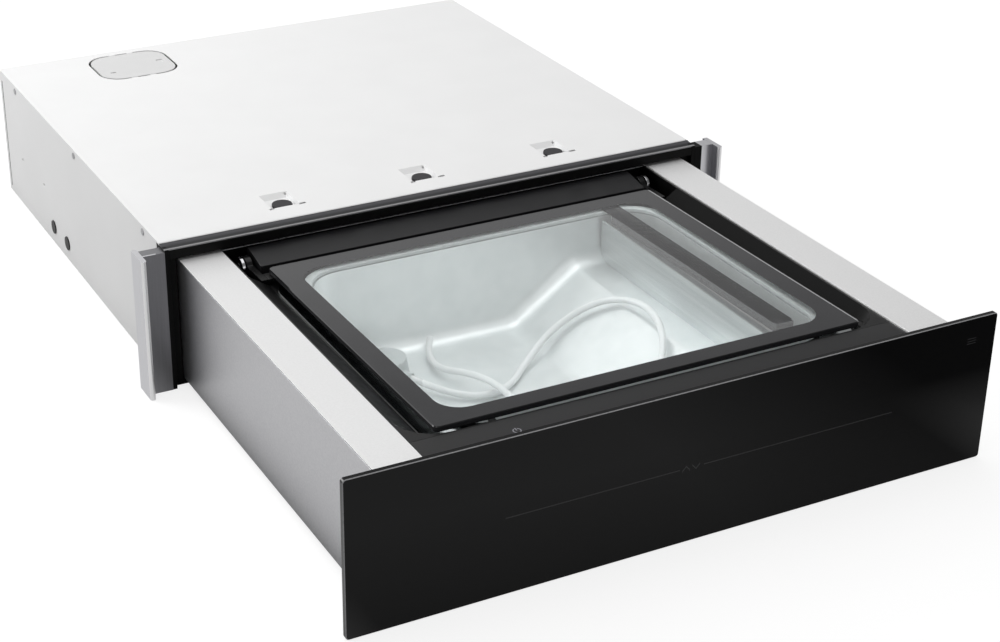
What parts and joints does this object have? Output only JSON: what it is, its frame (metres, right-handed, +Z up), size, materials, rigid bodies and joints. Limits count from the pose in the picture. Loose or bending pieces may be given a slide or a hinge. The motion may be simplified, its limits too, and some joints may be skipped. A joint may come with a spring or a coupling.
{
  "type": "vacuum sealing drawer",
  "caption": "Built-in vacuum sealing drawer pulled out of its cabinet, with a glass lid over a steel chamber, a seal bar, a hose kit and a pump behind.",
  "frame": {"origin": "centre of the cabinet's base face", "axes": "+Z up, +Y to the back of the cabinet, -Y towards the glass front, +X to the right"},
  "size_m": [0.596, 0.938, 0.1378],
  "materials": {
    "case_white": "satin white-grey coat",
    "frame_black": "matte black coat",
    "trim_grey": "satin grey coat",
    "bracket_grey": "satin grey coat",
    "galvanised": "galvanised sheet",
    "slide_steel": "bright zinc",
    "drawer_steel": "brushed along the drawer",
    "chamber_steel": "satin deep-drawn steel",
    "front_black_glass": "gloss black, opaque backed",
    "lid_glass": "clear, with a dark printed border",
    "control_black": "gloss black touch strip",
    "black_plastic": "fine matte black",
    "board_green": "lacquered board",
    "hinge_metal": "polished",
    "screw_steel": "bright",
    "rubber_grey": "soft matte",
    "bar_aluminium": "satin",
    "heater_metal": "satin strip under tape",
    "adapter_silicone": "pale translucent silicone",
    "hose_clear": "pale translucent hose",
    "pump_metal": "cast",
    "motor_metal": "cast housing",
    "transformer_iron": "laminated core with its coil"
  },
  "bodies": {
    "cabinet": {"cabinet_base": "case_white", "cabinet_side_left": "case_white", "cabinet_side_right": "case_white", "cabinet_rear_panel": "case_white", "cabinet_top_sheet": "case_white", "cable_cover_plate": "case_white", "top_buffers": "rubber_grey", "case_screws": "screw_steel", "side_plugs": "black_plastic", "front_top_trim": "trim_grey", "frame_posts": "frame_black", "frame_top_bar": "frame_black", "frame_bottom_bar": "frame_black", "mounting_bracket_left": "bracket_grey", "mounting_bracket_right": "bracket_grey", "slides_outer": "slide_steel", "mains_gland": "black_plastic", "push_latch_housing": "black_plastic"},
    "slide_middles": {"slides_middle": "slide_steel"},
    "drawer": {"front_glass": "front_black_glass", "front_backing": "galvanised", "control_panel": "control_black", "control_board": "board_green", "drawer_walls": "drawer_steel", "side_strip_left": "drawer_steel", "side_strip_right": "drawer_steel", "drawer_base": "galvanised", "drawer_rear_wall": "galvanised", "rear_cover": "galvanised", "slides_inner": "slide_steel", "well_moulding": "black_plastic", "chamber_tub": "chamber_steel", "chamber_seal": "adapter_silicone", "sealing_carrier": "chamber_steel", "sealing_sleeves": "black_plastic", "lift_cylinder": "bar_aluminium", "suction_port": "black_plastic", "hose_adapter": "adapter_silicone", "vacuum_hose": "hose_clear", "hinge_brackets": "hinge_metal", "hinge_pins": "hinge_metal", "hinge_cover": "black_plastic", "lid_switch": "black_plastic", "vacuum_pump": "pump_metal", "pump_motor": "motor_metal", "fan_housing": "black_plastic", "pump_feet": "rubber_grey", "transformer": "transformer_iron", "valve_block": "pump_metal", "power_board": "board_green"},
    "lid": {"lid_glass": "lid_glass", "lid_rail": "chamber_steel", "hinge_arms": "hinge_metal", "counter_bar": "rubber_grey"},
    "sealing_bar": {"sealing_bar": "bar_aluminium", "heating_strip": "heater_metal", "lift_yoke": "bar_aluminium"},
    "rotor": {"pump_rotor": "motor_metal"},
    "fan": {"fan_wheel": "black_plastic"},
    "latch": {"push_latch_plunger": "black_plastic"}
  },
  "joints": [
    {"name": "drawer_slide", "type": "slide", "parent": "cabinet", "child": "drawer", "axis": [0, -1, 0], "range_m": [-0.395, 0]},
    {"name": "slide_middle_follow", "type": "slide", "parent": "cabinet", "child": "slide_middles", "axis": [0, -1, 0], "range_m": [-0.1975, 0]},
    {"name": "lid_hinge", "type": "hinge", "parent": "drawer", "child": "lid", "pos_m": [0, -0.272, 0.1125], "axis": [-1, 0, 0], "range_deg": [-0.9, 80]},
    {"name": "sealing_bar_lift", "type": "slide", "parent": "drawer", "child": "sealing_bar", "axis": [0, 0, 1], "range_m": [0, 0.006]},
    {"name": "pump_rotor_spin", "type": "hinge", "parent": "drawer", "child": "rotor", "pos_m": [-0.097, -0.1995, 0.0536], "axis": [1, 0, 0], "continuous": true},
    {"name": "fan_spin", "type": "hinge", "parent": "drawer", "child": "fan", "pos_m": [0.1, -0.165, 0.0566], "axis": [0, 1, 0], "continuous": true},
    {"name": "push_latch_press", "type": "slide", "parent": "cabinet", "child": "latch", "axis": [0, 1, 0], "range_m": [0, 0.004], "stiffness_N_per_m": 1500, "springref_m": -0.002}
  ],
  "couplings": [
    {"joint": "slide_middle_follow", "follows": "drawer_slide", "ratio": 0.5}
  ]
}
